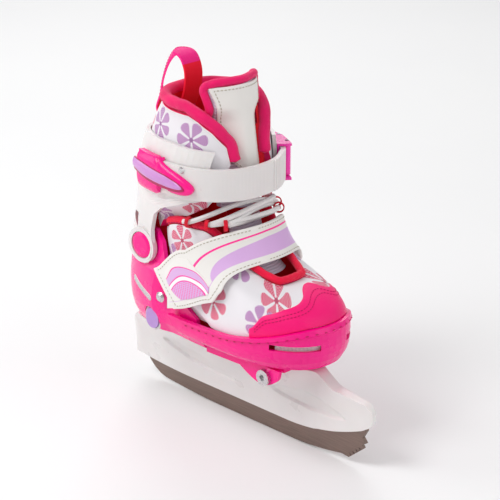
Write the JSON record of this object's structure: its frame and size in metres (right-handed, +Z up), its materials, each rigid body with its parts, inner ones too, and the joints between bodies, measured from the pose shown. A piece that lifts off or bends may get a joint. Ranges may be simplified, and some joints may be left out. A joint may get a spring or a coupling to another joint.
{
  "type": "ice skate",
  "caption": "Size-adjustable child's ice skate: soft boot in a plastic shell with hinged cuff, ratchet buckle, laces and strap on a steel blade.",
  "frame": {"origin": "under the middle of the blade, on its running edge", "axes": "+X points to the toe, +Y to the outer side of the foot, +Z up"},
  "size_m": [0.268, 0.1222, 0.2994],
  "materials": {
    "blade_steel": "ground and slightly brown",
    "white_plastic": "moulded, soft gloss",
    "pink_plastic": "moulded, high gloss",
    "lilac_plastic": "moulded, soft gloss",
    "bright_metal": "polished",
    "zinc_metal": "zinc plated",
    "natural_nylon": "plain",
    "flower_fabric": "printed with plain flowers",
    "red_lining": "brushed",
    "pink_padding": "soft padded roll",
    "red_binding": "stitched binding tape",
    "pink_leather": "stitched synthetic",
    "white_leather": "stitched synthetic",
    "lilac_print": "printed synthetic",
    "tongue_fabric": "padded mesh",
    "insole_foam": "felt",
    "lace_cord": "round braid",
    "red_webbing": "woven tape",
    "pink_webbing": "woven tape"
  },
  "bodies": {
    "skate": {"blade": "blade_steel", "blade_holder": "white_plastic", "heel_shell": "pink_plastic", "chassis_bolts": "bright_metal", "holder_screws": "zinc_metal", "button_bezel": "white_plastic", "tab_rivets": "bright_metal", "liner_heel": "red_lining", "insole": "insole_foam", "tongue_base": "tongue_fabric", "pivot_pins": "zinc_metal", "pivot_bushings": "natural_nylon", "pivot_caps": "pink_plastic"},
    "toe_section": {"toe_shell": "pink_plastic", "toe_cap": "pink_leather", "vamp": "flower_fabric", "throat_binding": "red_binding", "lace_loops": "red_webbing", "lace": "lace_cord", "size_rack": "natural_nylon", "vent_mesh": "natural_nylon", "instep_strap": "white_leather", "strap_rivets": "bright_metal", "strap_tab": "white_leather"},
    "flap": {"strap_flap": "white_leather", "strap_badge": "lilac_print"},
    "button": {"size_button": "lilac_plastic", "size_latch": "zinc_metal", "button_spring": "zinc_metal"},
    "cuff_section": {"cuff": "white_plastic", "liner_collar": "flower_fabric", "collar_binding": "pink_padding", "tongue": "tongue_fabric", "tongue_binding": "pink_padding", "tongue_patch": "white_leather", "pull_loop": "pink_webbing", "ratchet_strap": "white_plastic", "strap_clamp": "pink_plastic", "clamp_insert": "lilac_plastic", "clamp_rivet": "bright_metal", "buckle_base": "pink_plastic", "lever_pin": "bright_metal", "pawl_pin": "bright_metal", "buckle_rivets": "bright_metal"},
    "lever": {"buckle_lever": "pink_plastic"},
    "pawl": {"pawl": "zinc_metal"}
  },
  "joints": [
    {"name": "toe_slide", "type": "slide", "parent": "skate", "child": "toe_section", "axis": [1, 0, 0], "range_m": [0, 0.0198]},
    {"name": "cuff_lean", "type": "hinge", "parent": "skate", "child": "cuff_section", "pos_m": [-0.081, 0, 0.142], "axis": [0, 1, 0], "range_deg": [-4, 6], "stiffness_Nm_per_rad": 12},
    {"name": "strap_flap_open", "type": "hinge", "parent": "toe_section", "child": "flap", "pos_m": [0.02451, -0.01201, 0.16281], "axis": [-0.518, 0.012, 0.8553], "range_deg": [0, 70]},
    {"name": "size_button_press", "type": "slide", "parent": "skate", "child": "button", "axis": [0, 1, 0], "range_m": [0, 0.0035], "stiffness_N_per_m": 400, "springref_m": -0.001},
    {"name": "buckle_lever_open", "type": "hinge", "parent": "cuff_section", "child": "lever", "pos_m": [-0.00626, 0.05073, 0.212], "axis": [0, 0, 1], "range_deg": [-50, 0]},
    {"name": "pawl_lift", "type": "hinge", "parent": "cuff_section", "child": "pawl", "pos_m": [-0.02279, 0.058, 0.212], "axis": [0, 0, 1], "range_deg": [0, 12], "stiffness_Nm_per_rad": 0.05, "springref_deg": -5.73}
  ]
}
